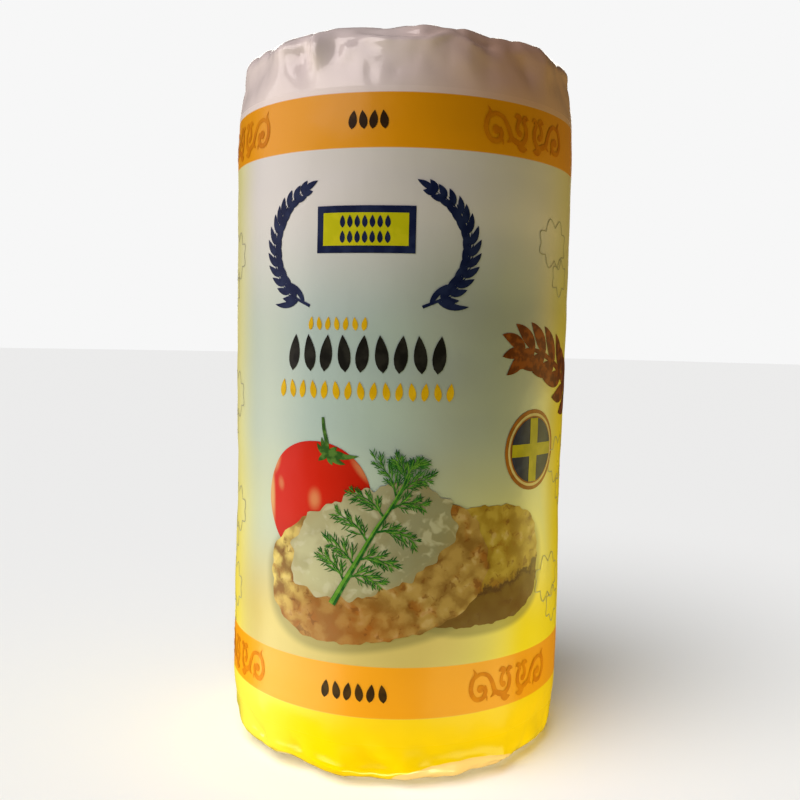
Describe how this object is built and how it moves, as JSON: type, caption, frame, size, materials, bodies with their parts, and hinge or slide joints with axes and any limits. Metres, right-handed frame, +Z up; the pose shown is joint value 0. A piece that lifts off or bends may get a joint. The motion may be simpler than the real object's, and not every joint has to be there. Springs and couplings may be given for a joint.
{
  "type": "rice cake pack",
  "caption": "Shut cylindrical film pack around a stack of puffed rice cakes, with rounded rims, ends folded flat under crimped seals and a flat fin seam down the back.",
  "frame": {"origin": "middle of the folded foot, on the surface the pack stands on", "axes": "+Z up the tube, -Y towards the printed front, +Y towards the back fin seam"},
  "size_m": [0.096, 0.096, 0.192],
  "materials": {
    "film": "printed glossy plastic film, white with a yellow glow towards the sides and the foot"
  },
  "bodies": {
    "root": {"pack": "film"}
  },
  "joints": []
}
